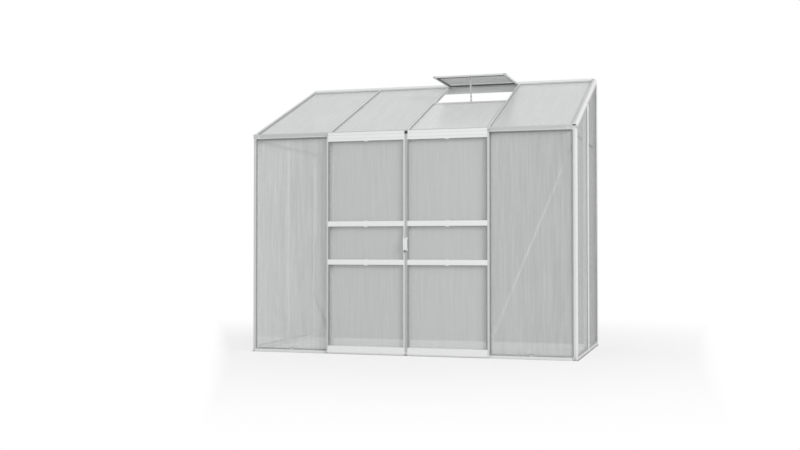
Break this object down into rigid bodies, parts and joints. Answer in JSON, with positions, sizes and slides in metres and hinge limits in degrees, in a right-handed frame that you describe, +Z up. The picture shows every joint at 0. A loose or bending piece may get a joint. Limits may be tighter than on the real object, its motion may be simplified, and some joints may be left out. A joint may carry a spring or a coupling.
{
  "type": "lean-to greenhouse",
  "caption": "Lean-to greenhouse frame for a house wall, with twin-wall panes, sliding double doors on an eave track, and a hinged roof vent with a stay.",
  "frame": {"origin": "middle of the overall footprint at ground level", "axes": "+X along the house wall to the right as seen from outside, +Y towards the house wall, +Z up"},
  "size_m": [2.54, 1.382, 2.2327],
  "materials": {
    "white_coat": "white powder coat on aluminium",
    "glazing": "translucent twin-wall sheet",
    "rubber": "black rubber",
    "black_nylon": "black nylon",
    "zinc_steel": "zinc plated"
  },
  "bodies": {
    "frame": {"centre_roof_bar": "white_coat", "eave_track": "white_coat", "frame_bolts": "zinc_steel", "front_cill": "white_coat", "left_brace": "white_coat", "left_corner_post": "white_coat", "left_door_post": "white_coat", "left_end_bar": "white_coat", "left_end_cill": "white_coat", "left_end_panes": "glazing", "left_end_rafter": "white_coat", "left_end_tie": "white_coat", "left_front_pane": "glazing", "left_roof_bar": "white_coat", "left_wall_post": "white_coat", "ridge_bar": "white_coat", "right_brace": "white_coat", "right_corner_post": "white_coat", "right_door_post": "white_coat", "right_end_bar": "white_coat", "right_end_cill": "white_coat", "right_end_panes": "glazing", "right_end_rafter": "white_coat", "right_end_tie": "white_coat", "right_front_pane": "glazing", "right_roof_bar": "white_coat", "right_wall_post": "white_coat", "roof_panes": "glazing", "track_stops": "white_coat", "vent_bay_pane": "glazing", "vent_crossbar": "white_coat"},
    "left_leaf": {"left_door_axles": "zinc_steel", "left_door_bottom_rail": "white_coat", "left_door_guides": "black_nylon", "left_door_handle": "white_coat", "left_door_meeting_stile": "white_coat", "left_door_mid_rails": "white_coat", "left_door_outer_stile": "white_coat", "left_door_panes": "glazing", "left_door_seal": "rubber", "left_door_top_rail": "white_coat"},
    "right_leaf": {"right_door_axles": "zinc_steel", "right_door_bottom_rail": "white_coat", "right_door_guides": "black_nylon", "right_door_handle": "white_coat", "right_door_meeting_stile": "white_coat", "right_door_mid_rails": "white_coat", "right_door_outer_stile": "white_coat", "right_door_panes": "glazing", "right_door_seal": "rubber", "right_door_top_rail": "white_coat"},
    "left_inner_wheel": {"left_door_inner_wheel": "black_nylon"},
    "left_outer_wheel": {"left_door_outer_wheel": "black_nylon"},
    "right_inner_wheel": {"right_door_inner_wheel": "black_nylon"},
    "right_outer_wheel": {"right_door_outer_wheel": "black_nylon"},
    "vent": {"vent_top_rail": "white_coat", "vent_bottom_rail": "white_coat", "vent_side_rails": "white_coat", "vent_pane": "glazing"},
    "stay": {"vent_stay": "white_coat"}
  },
  "joints": [
    {"name": "left_leaf_slide", "type": "slide", "parent": "frame", "child": "left_leaf", "axis": [-1, 0, 0], "range_m": [0, 0.6]},
    {"name": "right_leaf_slide", "type": "slide", "parent": "frame", "child": "right_leaf", "axis": [1, 0, 0], "range_m": [0, 0.6]},
    {"name": "left_inner_wheel_spin", "type": "hinge", "parent": "left_leaf", "child": "left_inner_wheel", "pos_m": [-0.044, -0.654, 1.6773], "axis": [0, 1, 0], "range_deg": [-4911.07, 0]},
    {"name": "left_outer_wheel_spin", "type": "hinge", "parent": "left_leaf", "child": "left_outer_wheel", "pos_m": [-0.592, -0.654, 1.6773], "axis": [0, 1, 0], "range_deg": [-4911.07, 0]},
    {"name": "right_inner_wheel_spin", "type": "hinge", "parent": "right_leaf", "child": "right_inner_wheel", "pos_m": [0.044, -0.654, 1.6773], "axis": [0, 1, 0], "range_deg": [0, 4911.07]},
    {"name": "right_outer_wheel_spin", "type": "hinge", "parent": "right_leaf", "child": "right_outer_wheel", "pos_m": [0.592, -0.654, 1.6773], "axis": [0, 1, 0], "range_deg": [0, 4911.07]},
    {"name": "vent_hinge", "type": "hinge", "parent": "frame", "child": "vent", "pos_m": [0.311, 0.644, 2.20322], "axis": [-1, 0, 0], "range_deg": [-21.9, 20]},
    {"name": "stay_hinge", "type": "hinge", "parent": "vent", "child": "stay", "pos_m": [0.311, 0.132, 2.19422], "axis": [1, 0, 0], "range_deg": [0, 75]}
  ],
  "couplings": [
    {"joint": "left_inner_wheel_spin", "follows": "left_leaf_slide", "rad_per_m": -142.86},
    {"joint": "left_outer_wheel_spin", "follows": "left_leaf_slide", "rad_per_m": -142.86},
    {"joint": "right_inner_wheel_spin", "follows": "right_leaf_slide", "rad_per_m": 142.86},
    {"joint": "right_outer_wheel_spin", "follows": "right_leaf_slide", "rad_per_m": 142.86}
  ]
}
